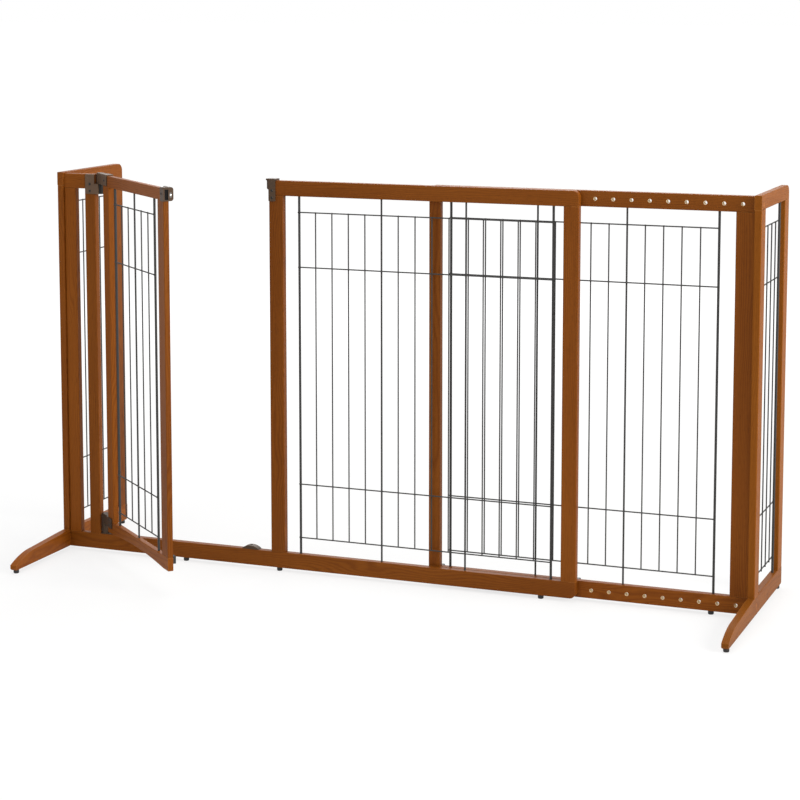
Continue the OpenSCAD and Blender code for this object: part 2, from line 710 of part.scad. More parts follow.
module lower_door_bracket() color(hardware) on_door() difference() {
  door_bracket(lower_bracket_z, bracket_h, 0);
  translate([0, 0, lower_bracket_z - 1])
    cylinder(lower_pin_top + seat_gap - lower_bracket_z + 1, r = pin_r + run_fit);
  for (z = lower_wrap_screws) facing_back(wrap_screw_x, -wrap_out, z) screw_hole();
}

// ---- Latch, strike and threshold dome ----
module strike() color(hardware) placed() difference() {
  union() {
    translate([0, 0, frame_h - strike_h]) rotate([90, 0, 0]) linear_extrude(plate_t)
      round_rect(strike_w, strike_h + plate_t, 2);
    translate([-lug_reach, -plate_t, frame_h])
      cube([strike_cap_w + lug_reach, board_t + plate_t, strike_cap_t]);
    translate([-lug_reach, lug_back, 0]) rotate([90, 0, 0]) linear_extrude(lug_back - lug_front)
      polygon([[0, lug_z], [lug_reach, lug_z - 5], [lug_reach, frame_h + 1], [0, frame_h + 1]]);
  }
  for (z = plate_screws) facing_back(strike_w / 2, -plate_t, z) screw_hole();
}

// Slot for the slide's knob, from the knob at rest to the end of the travel
module knob_slot(r) {
  translate([0, -r]) square([slide_travel, 2 * r]);
  for (x = [0, slide_travel]) translate([x, 0]) circle(r);
}

// Outline of the housing across the door, with round corners at the back
module hood_outline(front) {
  h = door_top + plate_t - latch_z;
  intersection() {
    translate([front, latch_z]) square([guide_back - front, h]);
    translate([-latch_front - 20, latch_z]) round_rect(guide_back + latch_front + 20, h, hood_r);
  }
}

module latch_housing() color(hardware) on_door() difference() {
  union() {
    translate([latch_x, 0, 0]) rotate([90, 0, 90]) linear_extrude(latch_len + end_plate_t)
      hood_outline(-latch_front - plate_t);
    translate([latch_x, -latch_front - plate_t, latch_z])
      cube([latch_reach - latch_x, plate_t, latch_top - latch_z]);
    translate([guide_x, 0, 0]) rotate([90, 0, 90]) linear_extrude(guide_len) hood_outline(latch_front);
  }
  translate([guide_x - 1, -latch_front, latch_z - 1])
    cube([guide_len + 1, 2 * latch_front, door_top - latch_z + 1]);
  translate([door_end - 1, -latch_front + 3, latch_z + plate_t])
    cube([end_plate_t + 2, 2 * latch_front - 5, door_top - latch_z - 2 * plate_t]);
  translate([slide_x - seat_gap, slide_y - run_fit, slide_z - run_fit])
    cube([slide_len + 4, slide_t + 2 * run_fit, slide_h + 2 * run_fit]);
  translate([slide_knob_x, guide_back + 1, slide_z + slide_h / 2]) rotate([90, 0, 0])
    linear_extrude(guide_t / 2) knob_slot(slide_knob_r + 2 * run_fit);
  facing_back(latch_screw_x, -latch_front - plate_t, latch_screw_z) screw_hole();
}

module latch_slide() color(steel) on_door() {
  translate([slide_x, slide_y, slide_z]) cube([slide_len, slide_t, slide_h]);
  translate([slide_knob_x, slide_y + slide_t / 2, slide_z + slide_h / 2]) rotate([-90, 0, 0]) {
    cylinder(guide_back - slide_y + 2, r = slide_knob_r);
    translate([0, 0, guide_back - slide_y]) cylinder(4, r = slide_knob_r * 2);
  }
}

module door_bumper() color(rubber) on_door() difference() {
  translate([door_end - bumper_w, door_half, bumper_z]) cube([bumper_w - seat_gap, bumper_t, bumper_h]);
  facing_front(bumper_screw_x, door_half + bumper_t + 1, bumper_screw_z)
    cylinder(bumper_t + 2, r = screw_r + run_fit);
  facing_front(bumper_screw_x, door_half + bumper_t + 1, bumper_screw_z)
    cylinder(bumper_recess + 1, r = screw_head_r + seat_gap);
}

module threshold_dome() color(hardware) placed() {
  dome_r = (dome_len * dome_len / 4 + dome_h * dome_h) / (2 * dome_h);
  difference() {
    intersection() {
      translate([dome_x, 1, rail_top + dome_h - dome_r]) rotate([-90, 0, 0])
        cylinder(board_t - 2, r = dome_r, $fn = 128);
      translate([dome_x - dome_len / 2, 0, rail_top]) cube([dome_len, board_t, dome_h]);
    }
    facing_down(dome_x, mid_y, rail_top + dome_h) cylinder(dome_h + 1, r = screw_r + run_fit);
    facing_down(dome_x, mid_y, rail_top + dome_h + 1)
      cylinder(dome_recess + 1, r = screw_head_r + seat_gap);
  }
}

module frame_screws() color(steel) placed() {
  for (z = plate_screws) facing_back(plate_x + plate_w / 2, -plate_t, z) screw();
  for (z = plate_screws) facing_back(strike_w / 2, -plate_t, z) screw();
  facing_down(flange_screw_x, mid_y, rail_top + plate_t) screw();
  facing_down(dome_x, mid_y, rail_top + dome_h - dome_recess) screw();
}

module door_screws() color(steel) on_door() {
  for (z = concat([upper_wrap_screw], lower_wrap_screws)) facing_back(wrap_screw_x, -wrap_out, z) screw();
  facing_back(latch_screw_x, -latch_front - plate_t, latch_screw_z) screw();
  facing_front(bumper_screw_x, door_half + bumper_t - bumper_recess, bumper_screw_z) screw();
}

// ---- Lock bolts ----
module on_lock(x, z) on_sliding() translate([x, 0, z]) rotate([-90, 0, 0]) children();

module lock_stud(x, z) color(steel) on_lock(x, z) cylinder(knob_face + knob_h - 3, r = stud_r);

module lock_knob(x, z) color(knob_colour) on_lock(x, z) difference() {
  translate([0, 0, knob_face]) {
    cylinder(knob_h, r = knob_d / 2);
    translate([0, 0, knob_h - 1]) cylinder(3, r = knob_d / 4);
  }
  translate([0, 0, knob_face - 1]) cylinder(knob_h - 2, r = stud_r + run_fit);
  for (i = [0 : 5]) rotate([0, 0, i * 60])
    translate([knob_d / 2 + 2.5, 0, knob_face - 1]) cylinder(knob_h + 2, r = 5);
}

module outer_top_lock_stud() lock_stud(lock_x[0], top_hole_z);
module outer_top_lock_knob() lock_knob(lock_x[0], top_hole_z);
module outer_bottom_lock_stud() lock_stud(lock_x[0], bottom_hole_z);
module outer_bottom_lock_knob() lock_knob(lock_x[0], bottom_hole_z);
module inner_top_lock_stud() lock_stud(lock_x[1], top_hole_z);
module inner_top_lock_knob() lock_knob(lock_x[1], top_hole_z);
module inner_bottom_lock_stud() lock_stud(lock_x[1], bottom_hole_z);
module inner_bottom_lock_knob() lock_knob(lock_x[1], bottom_hole_z);

// ---- The gate ----
threshold_rail();
left_stile();
short_top_rail();
hinge_post();
latch_stile();
front_top_rail();
right_stile();
front_mesh();
front_pads();
left_panel_front_stile();
left_panel_rear_stile();
left_panel_top_rail();
left_foot_rail();
left_panel_mesh();
left_panel_pads();
left_panel_bolts();
left_panel_plugs();
upper_post_bracket();
lower_post_bracket();
lower_hinge_pin();
strike();
threshold_dome();
frame_screws();
sliding_inner_stile();
sliding_outer_stile();
sliding_top_rail();
sliding_bottom_rail();
sliding_mesh();
sliding_pad();
right_panel_front_stile();
right_panel_rear_stile();
right_panel_top_rail();
right_foot_rail();
right_panel_mesh();
right_panel_pads();
right_panel_bolts();
right_panel_plugs();
door_hinge_stile();
door_latch_stile();
door_top_rail();
door_bottom_rail();
door_mesh();
upper_door_bracket();
lower_door_bracket();
upper_hinge_pin();
latch_housing();
latch_slide();
door_bumper();
door_screws();
outer_top_lock_stud();
outer_top_lock_knob();
outer_bottom_lock_stud();
outer_bottom_lock_knob();
inner_top_lock_stud();
inner_top_lock_knob();
inner_bottom_lock_stud();
inner_bottom_lock_knob();
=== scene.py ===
"""Dress the free-standing pet gate: finishes for its boards, mesh and hardware, small fittings,
and a plain studio to show it in."""
import json
import logging
import math
from dataclasses import dataclass, field
from enum import Enum
from typing import Any, Iterable, Optional, Sequence, Union

import bmesh
import bpy
from mathutils import Matrix, Vector, noise


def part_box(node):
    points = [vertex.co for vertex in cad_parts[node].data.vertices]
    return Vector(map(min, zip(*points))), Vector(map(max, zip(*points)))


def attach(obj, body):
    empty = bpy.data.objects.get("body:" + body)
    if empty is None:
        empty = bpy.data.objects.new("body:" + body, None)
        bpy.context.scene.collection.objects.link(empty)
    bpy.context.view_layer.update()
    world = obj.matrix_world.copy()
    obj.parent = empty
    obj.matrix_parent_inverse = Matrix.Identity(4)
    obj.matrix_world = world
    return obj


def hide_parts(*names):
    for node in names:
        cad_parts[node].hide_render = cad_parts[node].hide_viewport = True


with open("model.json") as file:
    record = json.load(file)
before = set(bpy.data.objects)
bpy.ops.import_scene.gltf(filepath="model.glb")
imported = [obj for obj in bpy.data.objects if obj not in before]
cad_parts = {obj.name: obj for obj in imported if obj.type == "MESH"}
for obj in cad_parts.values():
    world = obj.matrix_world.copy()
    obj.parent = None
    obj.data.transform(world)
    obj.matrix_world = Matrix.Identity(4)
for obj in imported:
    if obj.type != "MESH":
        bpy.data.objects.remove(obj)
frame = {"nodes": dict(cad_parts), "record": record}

log = logging.getLogger("pet_gate")
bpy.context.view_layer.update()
MM = 0.001
MESH_PITCH = 40.7
DOOR_PITCH = 43.2
FRAME_CROSSES = (85.0, 212.0, 721.0, 848.0)
DOOR_CROSSES = (121.0, 212.0, 721.0, 857.0)
Vector3 = tuple[float, float, float]
Colour = Vector3
Number = Union[int, float, "Signal"]
Inputs = dict[Union[int, str], Any]
Loop = Sequence[bmesh.types.BMVert]


@dataclass(frozen=True, eq=False)
class Signal:
    """A shader socket that takes part in plain arithmetic."""

    graph: "Graph"
    socket: bpy.types.NodeSocket

    def _math(self, operation: str, *values: Number) -> "Signal":
        """Add one Math node, with the values as its inputs in order."""
        return self.graph.node("ShaderNodeMath", {"operation": operation}, dict(enumerate(values)))

    def __add__(self, other: Number) -> "Signal":
        """Return the sum of this value and another."""
        return self._math("ADD", self, other)

    def __radd__(self, other: Number) -> "Signal":
        """Return the sum of another value and this one."""
        return self._math("ADD", other, self)

    def __sub__(self, other: Number) -> "Signal":
        """Return this value less another."""
        return self._math("SUBTRACT", self, other)

    def __rsub__(self, other: Number) -> "Signal":
        """Return another value less this one."""
        return self._math("SUBTRACT", other, self)

    def __mul__(self, other: Number) -> "Signal":
        """Return the product of this value and another."""
        return self._math("MULTIPLY", self, other)

    def __rmul__(self, other: Number) -> "Signal":
        """Return the product of another value and this one."""
        return self._math("MULTIPLY", other, self)

    def __truediv__(self, other: Number) -> "Signal":
        """Return this value over another."""
        return self._math("DIVIDE", self, other)

    def __pow__(self, other: Number) -> "Signal":
        """Return this value to the power of another."""
        return self._math("POWER", self, other)

    def either(self, other: "Signal") -> "Signal":
        """Return the larger of this value and another."""
        return self._math("MAXIMUM", self, other)

    def fraction(self) -> "Signal":
        """Return this value's part above the last whole number."""
        return self._math("FRACT", self)

    def sine(self) -> "Signal":
        """Return the sine of this value."""
        return self._math("SINE", self)

    def ramp(self, low: float, high: float) -> "Signal":
        """Rise smoothly from 0 at low to 1 at high.

        Args:
            low: The value that gives 0.
            high: The value that gives 1.

        Returns:
            The eased value.
        """
        return self.graph.node(
            "ShaderNodeMapRange",
            {"interpolation_type": "SMOOTHSTEP"},
            {"Value": self, "From Min": low, "From Max": high},
        )

    def part(self, name: str) -> "Signal":
        """Return one component of a vector: X, Y or Z."""
        split = self.graph.raw("ShaderNodeSeparateXYZ", {}, {"Vector": self})
        return Signal(self.graph, split.outputs[name])


class Output(Enum):
    """What a node tree belongs to, as the type of its output node."""

    MATERIAL = "ShaderNodeOutputMaterial"
    WORLD = "ShaderNodeOutputWorld"


class Graph:
    """The node tree of one material or of the world."""

    def __init__(self, name: str, output: Output = Output.MATERIAL) -> None:
        """Start an empty tree.

        Args:
            name: The name of the material or world.
            output: What the tree belongs to.
        """
        store = bpy.data.worlds if output is Output.WORLD else bpy.data.materials
        self.owner = store.new(name)
        self.owner.use_nodes = True
        self.tree = self.owner.node_tree
        self.tree.nodes.clear()
        self.output = self.tree.nodes.new(output.value)

    def raw(self, kind: str, settings: dict[str, Any], inputs: Inputs) -> bpy.types.Node:
        """Add a node.

        Args:
            kind: The node's type.
            settings: The node's own properties, which are set before its inputs.
            inputs: Values or links for its input sockets, by name or number.

        Returns:
            The node.
        """
        node = self.tree.nodes.new(kind)
        for key, value in settings.items():
            setattr(node, key, value)
        for key, value in inputs.items():
            target = node.inputs[key]
            if isinstance(value, Signal):
                self.tree.links.new(value.socket, target)
            else:
                target.default_value = value
        return node

    def node(
        self, kind: str, settings: dict[str, Any], inputs: Inputs, output: Union[int, str] = 0
    ) -> Signal:
        """Add a node as raw does, and return the output of that name or number."""
        return Signal(self, self.raw(kind, settings, inputs).outputs[output])

    def place(self) -> Signal:
        """Return the position on the object, in metres."""
        return self.node("ShaderNodeTexCoord", {}, {}, "Object")

    def mapped(self, turn: Sequence[float], shift: Sequence[float]) -> Signal:
        """Return the position, turned and then shifted."""
        turned = self.node("ShaderNodeMapping", {}, {"Vector": self.place(), "Rotation": tuple(turn)})
        return self.node("ShaderNodeMapping", {}, {"Vector": turned, "Location": tuple(shift)})

    def stretched(self, position: Signal, scale: Sequence[float]) -> Signal:
        """Return a position scaled along each axis."""
        return self.node("ShaderNodeMapping", {}, {"Vector": position, "Scale": tuple(scale)})

    def noise(self, position: Signal, scale: float, detail: float = 2.0, rough: float = 0.5) -> Signal:
        """Return soft noise from 0 to 1.

        Args:
            position: Where the noise is read.
            scale: Its frequency.
            detail: The number of finer layers.
            rough: The strength of the finer layers.

        Returns:
            The noise value.
        """
        return self.node(
            "ShaderNodeTexNoise",
            {"noise_dimensions": "3D"},
            {"Vector": position, "Scale": scale, "Detail": detail, "Roughness": rough},
        )

    def mix(
        self, share: Number, first: Union[Colour, Signal], second: Union[Colour, Signal]
    ) -> Signal:
        """Mix two colours, whose sockets are 6 and 7, with the result in 2.

        Args:
            share: How much of the second colour shows.
            first: A colour or a signal.
            second: A colour or a signal.

        Returns:
            The mixed colour.
        """
        opaque = [c if isinstance(c, Signal) else (*c, 1.0) for c in (first, second)]
        sockets = {0: share, 6: opaque[0], 7: opaque[1]}
        return self.node("ShaderNodeMix", {"data_type": "RGBA"}, sockets, 2)

    def bump(self, height: Signal, distance: float, strength: float = 1.0) -> Signal:
        """Return a normal that follows a height.

        Args:
            height: The height, from 0 to 1.
            distance: The height of 1, in metres.
            strength: How much of it shows.

        Returns:
            The normal.
        """
        return self.node(
            "ShaderNodeBump", {}, {"Height": height, "Distance": distance, "Strength": strength}
        )

    def edges(self, reach: float) -> Signal:
        """Return a value that rises towards 1 at the outer edges.

        Args:
            reach: How far an edge reaches, in metres.

        Returns:
            The edge value.
        """
        rounded = self.node("ShaderNodeBevel", {"samples": 6}, {"Radius": reach})
        plain = self.node("ShaderNodeNewGeometry", {}, {}, "Normal")
        facing = self.node(
            "ShaderNodeVectorMath", {"operation": "DOT_PRODUCT"}, {0: rounded, 1: plain}, "Value"
        )
        return (1 - facing).ramp(0.02, 0.30)

    def background(self) -> Signal:
        """Return 1 for the rays that show the background, straight, mirrored or through glass.

        Returns:
            The value, which is 0 for the rays that light the gate.
        """
        rays = self.raw("ShaderNodeLightPath", {}, {}).outputs
        direct, mirrored, through = (
            Signal(self, rays[f"Is {kind} Ray"]) for kind in ("Camera", "Glossy", "Transmission")
        )
        return direct.either(mirrored).either(through)

    def finish(self, **inputs: Any) -> bpy.types.Material:
        """Close the graph with a Principled shader.

        Args:
            inputs: Values or links for the shader's sockets, with spaces written as underscores.

        Returns:
            The finished material.
        """
        named = {key.replace("_", " "): value for key, value in inputs.items()}
        colour = named.get("Base Color")
        if colour is not None and not isinstance(colour, Signal):
            named["Base Color"] = (*colour, 1.0)
        return self.close(self.node("ShaderNodeBsdfPrincipled", {}, named))

    def close(self, shader: Signal) -> Any:
        """Join a shader to the output and return the finished material or world."""
        self.tree.links.new(shader.socket, self.output.inputs["Surface"])
        return self.owner


class Grain(Enum):
    """The direction that a board's grain runs in, as the turn that brings it to X."""

    ALONG_X = (0.0, 0.0, 0.0)
    ALONG_Y = (0.0, 0.0, -math.pi / 2)
    ALONG_Z = (0.0, math.pi / 2, 0.0)


@dataclass(frozen=True)
class PaintedLightHoleRow:
    """A row of lock holes in a rail whose walls are painted pale, painted light standing in for the
    white floor seen through them, in metres.
    """

    height: float
    first: float = 398.75 * MM
    pitch: float = MESH_PITCH * MM
    radius: float = 4.15 * MM
    blur: float = 0.02 * MM

    def mask(self, graph: Graph) -> Signal:
        """Return 1 on the walls of the row's holes and 0 elsewhere.

        Args:
            graph: The graph that the nodes are added to.

        Returns:
            The mask.
        """
        place = graph.place()
        whole_steps = 100
        steps = (place.part("X") - self.first) / self.pitch + (whole_steps + 0.5)
        along = (steps.fraction() - 0.5) * self.pitch
        up = place.part("Z") - self.height
        distance = (along * along + up * up) ** 0.5
        return 1 - distance.ramp(self.radius - self.blur, self.radius + self.blur)


@dataclass(frozen=True)
class HingeShadeBand:
    """Painted shade: a black band round the hinge pin, standing in for the shadow in the gap between
    post and door, by its distance from the hinge axis, in metres.
    """

    axis: tuple[float, float]
    radius: float = 8.2 * MM
    blur: float = 0.05 * MM
    colour: Colour = (0.012, 0.011, 0.010)

    def mask(self, graph: Graph) -> Signal:
        """Return 1 on the band and 0 elsewhere.

        Args:
            graph: The graph that the nodes are added to.

        Returns:
            The mask.
        """
        place = graph.place()
        across = place.part("X") - self.axis[0]
        deep = place.part("Y") - self.axis[1]
        distance = (across * across + deep * deep) ** 0.5
        return 1 - distance.ramp(self.radius - self.blur, self.radius + self.blur)


def seed_of(name: str) -> float:
    """Return a number from 0 to 1 that is always the same for a name.

    Args:
        name: Any name.

    Returns:
        The number.
    """
    total = 7
    for letter in name:
        total = (total * 31 + ord(letter)) % 9973
    return total / 9973


@dataclass(frozen=True)
class StainedWood:
    """Brown stained hardwood under a thin satin lacquer."""

    pale: Colour = (0.266, 0.078, 0.007)
    deep: Colour = (0.114, 0.024, 0.001)
    pore: Colour = (0.052, 0.012, 0.001)
    # Pale edge colour: partly stain worn thin on the edges, partly a painted highlight for light caught
    # on the rounded edges.
    rubbed_and_highlight: Colour = (0.420, 0.170, 0.045)
    # Pale cream painted on the lock-hole walls: painted light for the white floor seen through the
    # holes.
    hole_wall_light: Colour = (0.860, 0.720, 0.480)
    ring_gap: float = 3.6 * MM
    ring_strength: float = 0.30
    fibre_strength: float = 0.38
    cloud_strength: float = 0.86
    lightening: float = 0.33
    pore_strength: float = 0.5
    edge_reach: float = 2.4 * MM
    wave_scale: Vector3 = (1.0, 5.0, 5.0)
    wander_scale: Vector3 = (1.2, 26.0, 26.0)
    fibre_scale: Vector3 = (9.0, 420.0, 420.0)
    pore_scale: Vector3 = (42.0, 1500.0, 1500.0)
    cloud_scale: Vector3 = (1.6, 14.0, 14.0)
    relief: float = 0.10 * MM
    roughness: float = 0.46
    sheen: float = 0.09

    def material(
        self, name: str, grain: Grain, turn: float, tone: float, lit_hole_walls: Optional[PaintedLightHoleRow] = None
    ) -> bpy.types.Material:
        """Build the finish of one board.

        Args:
            name: The board's name, which also seeds its figure.
            grain: The direction that the grain runs in.
            turn: A further turn about the vertical, for a board on the open door.
            tone: Brightness of the board against the others, 1 in the middle.
            lit_hole_walls: The lock holes whose walls are painted pale as painted light, where it has
                them.

        Returns:
            The board's material.
        """
        graph = Graph(f"wood_{name}")
        seed = seed_of(name)
        shift = (seed * 7.0, seed * 3.1, seed * 5.3)
        board = graph.mapped((grain.value[0], grain.value[1], grain.value[2] + turn), shift)
        rings = self._rings(graph, board, shift, seed * 0.05)
        fibre = graph.noise(graph.stretched(board, self.fibre_scale), 1.0, 3.0, 0.6)
        pores = graph.noise(graph.stretched(board, self.pore_scale), 1.0, 1.0).ramp(0.62, 0.74)
        cloud = graph.noise(graph.stretched(board, self.cloud_scale), 1.0, 3.0, 0.55)
        depth = (
            rings * self.ring_strength
            + fibre * self.fibre_strength
            + cloud * self.cloud_strength
            - self.lightening
        )
        body = graph.mix(depth, self._toned(self.pale, tone), self._toned(self.deep, tone))
        stained = graph.mix(pores * self.pore_strength, body, self._toned(self.pore, tone))
        # Painted highlight and wear: the eased edges are lightened, partly real wear of the stain and
        # partly a painted highlight standing in for light caught on the rounded edges.
        worn = graph.edges(self.edge_reach) * (0.30 + 0.5 * cloud)
        colour = graph.mix(worn, stained, self.rubbed_and_highlight)
        roughness = self.roughness + 0.10 * cloud + 0.10 * pores - 0.04
        if lit_hole_walls is not None:
            # Painted light: the hole walls are painted pale cream and made glossier, standing in for the
            # white floor seen through the holes.
            hole_wall_light_mask = lit_hole_walls.mask(graph)
            colour = graph.mix(hole_wall_light_mask, colour, self.hole_wall_light)
            roughness = roughness - hole_wall_light_mask * 0.14
        height = fibre * 0.5 + (1 - pores) * 0.35 + (1 - rings) * 0.15
        return graph.finish(
            Base_Color=colour,
            Roughness=roughness,
            Normal=graph.bump(height, self.relief, 0.45),
            Specular_IOR_Level=self.sheen,
        )

    def _rings(self, graph: Graph, board: Signal, shift: Vector3, spread: float) -> Signal:
        """Draw the growth rings, as circles about the heart of the tree.

        Args:
            graph: The graph that the nodes are added to.
            board: The position in the board, with its grain along X.
            shift: How far the board is shifted.
            spread: A further distance from the heart, for the board's own figure.

        Returns:
            The rings, from 0 to 1.
        """
        wave = graph.noise(graph.stretched(board, self.wave_scale), 2.2, 2.0, 0.55)
        across_y = board.part("Y") + 0.055 * (wave - 0.5) + (0.11 - shift[1] + spread)
        across_z = board.part("Z") - shift[2] + 0.07 * (wave - 0.5) + (0.05 + spread)
        radius = (across_y * across_y + across_z * across_z) ** 0.5
        wander = graph.noise(graph.stretched(board, self.wander_scale), 1.0, 3.0)
        phase = radius * (2 * math.pi / self.ring_gap) + wander * 5.0
        return (phase.sine() * 0.5 + 0.5) ** 2.2

    @staticmethod
    def _toned(colour: Colour, tone: float) -> Colour:
        """Return a colour made lighter or darker by a factor."""
        return tuple(min(1.0, part * tone) for part in colour)


@dataclass(frozen=True)
class PowderCoat:
    """Dark powder coat on wire and steel plates, with a fine orange-peel surface."""

    name: str
    colour: Colour
    worn: Colour
    roughness: float
    metallic: float
    sheen: float = 0.3
    peel: float = 0.05 * MM
    wear: float = 0.18

    def material(self, shade_band: Optional[HingeShadeBand] = None) -> bpy.types.Material:
        """Build the coat.

        Args:
            shade_band: A black band of painted shade round the hinge pin, on the same piece.

        Returns:
            The material.
        """
        graph = Graph(self.name)
        place = graph.place()
        peel = graph.noise(place, 900.0, 2.0)
        mottle = graph.noise(place, 35.0, 4.0, 0.6)
        rub = graph.noise(place, 160.0, 3.0).ramp(0.60, 0.78)
        dull = tuple(c * 0.72 for c in self.colour)
        colour = graph.mix(mottle.ramp(0.3, 0.7) * 0.35, self.colour, dull)
        colour = graph.mix(rub * self.wear, colour, self.worn)
        if shade_band is not None:
            # Painted shade: black round the hinge pin on the post bracket, for the shadow in the gap
            # between post and door.
            colour = graph.mix(shade_band.mask(graph), colour, shade_band.colour)
        return graph.finish(
            Base_Color=colour,
            Metallic=self.metallic,
            Roughness=self.roughness + 0.12 * mottle - 0.10 * rub,
            Normal=graph.bump(peel * 0.7 + mottle * 0.3, self.peel, 0.6),
            Specular_IOR_Level=self.sheen,
        )


@dataclass(frozen=True)
class PlatedSteel:
    """Bright plated steel with fine drawn lines."""

    name: str
    colour: Colour
    roughness: float = 0.24

    def material(self, along: Sequence[float]) -> bpy.types.Material:
        """Build the plating.

        Args:
            along: Scale along each axis; the lines run along the smallest.

        Returns:
            The material.
        """
        graph = Graph(self.name)
        lines = graph.noise(graph.stretched(graph.place(), along), 1.0, 3.0)
        haze = graph.noise(graph.place(), 120.0, 3.0)
        dull = tuple(c * 0.74 for c in self.colour)
        return graph.finish(
            Base_Color=graph.mix(haze.ramp(0.35, 0.7) * 0.5, self.colour, dull),
            Metallic=1.0,
            Roughness=self.roughness + 0.12 * lines + 0.06 * haze,
            Normal=graph.bump(lines, 0.02 * MM, 0.4),
        )


@dataclass(frozen=True)
class SoftBlack:
    """Black rubber or matt plastic with a fine moulded texture."""

    name: str
    colour: Colour
    dusty: Colour
    roughness: float
    grit: float
    sheen: float = 0.4

    def material(self) -> bpy.types.Material:
        """Build the moulded surface.

        Returns:
            The material.
        """
        graph = Graph(self.name)
        place = graph.place()
        grain = graph.noise(place, self.grit, 2.0)
        dust = graph.noise(place, 70.0, 4.0, 0.65).ramp(0.45, 0.75)
        return graph.finish(
            Base_Color=graph.mix(dust * 0.5, self.colour, self.dusty),
            Roughness=self.roughness + 0.10 * dust,
            Normal=graph.bump(grain, 0.05 * MM, 0.6),
            Specular_IOR_Level=self.sheen,
        )


@dataclass
class Finishes:
    """Every finish on the gate, built once."""

    wood: StainedWood = field(default_factory=StainedWood)

    def __post_init__(self) -> None:
        """Build the shared materials."""
        self.wire = PowderCoat(
            "wire_coat", (0.034, 0.033, 0.032), (0.075, 0.072, 0.070), roughness=0.46, metallic=0.0
        ).material()
        self.weld = PowderCoat(
            "weld_coat", (0.030, 0.029, 0.028), (0.065, 0.062, 0.060), roughness=0.52, metallic=0.0
        ).material()
        self.bolt = PowderCoat(
            "bolt_black", (0.040, 0.034, 0.030), (0.16, 0.13, 0.11), roughness=0.36, metallic=0.5
        ).material()
        self.hinge = self._bronze("upper_hinge_lacquer", 0.80)
        self.post_hinge = self._bronze("post_hinge_lacquer", 1.0, HingeShadeBand(hinge_axis()))
        self.low_hinge = self._bronze("lower_hinge_lacquer", 0.44)
        self.fitting = self._bronze("fitting_lacquer", 0.60)
        self.steel = PlatedSteel("zinc_plate", (0.62, 0.62, 0.60)).material((60.0, 60.0, 1800.0))
        self.slide = PlatedSteel("grey_slide", (0.16, 0.155, 0.15), 0.38).material(
            (1600.0, 1600.0, 90.0)
        )
        self.button = PlatedSteel("nickel_button", (0.86, 0.85, 0.82), 0.14).material(
            (700.0, 700.0, 700.0)
        )
        self.rubber = SoftBlack(
            "pad_rubber", (0.018, 0.017, 0.016), (0.060, 0.056, 0.052), roughness=0.62, grit=1400.0
        ).material()
        # Near-black plastic for the latch insert: painted shade for the dark inside of the latch
        # housing.
        self.latch_shade = SoftBlack(
            "shade_black_plastic", (0.004, 0.004, 0.004), (0.008, 0.008, 0.007),
            roughness=0.60, grit=1900.0, sheen=0.12,
        ).material()
        self.plastic = SoftBlack(
            "knob_plastic", (0.022, 0.020, 0.019), (0.045, 0.042, 0.040), roughness=0.40, grit=1900.0
        ).material()

    @staticmethod
    def _bronze(name: str, tone: float, shade_band: Optional[HingeShadeBand] = None) -> bpy.types.Material:
        """Build one shade of the brown lacquer on the pressed steel hardware.

        Args:
            name: The material's name.
            tone: Brightness against the upper post bracket, which is 1.
            shade_band: A black band of painted shade round the hinge pin, on the same piece.

        Returns:
            The material.
        """
        coat, worn = (
            tuple(c * tone for c in colour) for colour in ((0.124, 0.074, 0.044), (0.30, 0.20, 0.12))
        )
        lacquer = PowderCoat(
            name, coat, worn, roughness=0.40, metallic=0.15, sheen=0.22, peel=0.03 * MM
        )
        return lacquer.material(shade_band)


def dress(node: str, material: bpy.types.Material) -> None:
    """Give a CAD node one material.

    Args:
        node: The node's name.
        material: Its finish.
    """
    piece = frame["nodes"][node]
    if not piece.data.materials:
        piece.data.materials.append(material)
    for slot in piece.material_slots:
        slot.material = material
    log.info("dressed %s", node)


def door_swing() -> dict[str, Any]:
    """Return the record of the door's hinge joint."""
    return next(j for j in frame["record"]["behaviour"]["joints"] if j["name"] == "door_swing")


def door_angle() -> float:
    """Return how far the door stands open at rest, in radians."""
    return math.radians(-door_swing()["range_deg"][0])


def hinge_axis() -> tuple[float, float]:
    """Return where the hinge axis stands, in metres along X and Y."""
    place = door_swing()["pos_m"]
    return place[0], place[1]


def door_space() -> Matrix:
    """Return the turn from the door's own axes, from the hinge outward, to the gate's."""
    across, deep = hinge_axis()
    return Matrix.Translation((across, deep, 0.0)) @ Matrix.Rotation(-door_angle(), 4, "Z")


def bridge(build: bmesh.types.BMesh, one: Loop, two: Loop) -> None:
    """Join two closed loops of vertices with a band of faces.

    Args:
        build: The mesh that it is added to.
        one: The first loop.
        two: The second, with as many vertices.
    """
    for index, vertex in enumerate(one):
        after = (index + 1) % len(one)
        build.faces.new((vertex, one[after], two[after], two[index]))


def new_piece(
    name: str, build: bmesh.types.BMesh, material: bpy.types.Material, body: str,
    smooth: bool = True,
) -> bpy.types.Object:
    """Turn a built mesh into a piece that rides on a body.

    Args:
        name: The piece's name.
        build: Its geometry, which is freed.
        material: Its finish.
        body: The body that carries it.
        smooth: Whether its faces are shaded smooth.

    Returns:
        The new object.
    """
    mesh = bpy.data.meshes.new(name)
    build.to_mesh(mesh)
    build.free()
    mesh.materials.append(material)
    for polygon in mesh.polygons:
        polygon.use_smooth = smooth
    piece = bpy.data.objects.new(name, mesh)
    bpy.context.scene.collection.objects.link(piece)
    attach(piece, body)
    log.info("built %s: %d faces", name, len(mesh.polygons))
    return piece


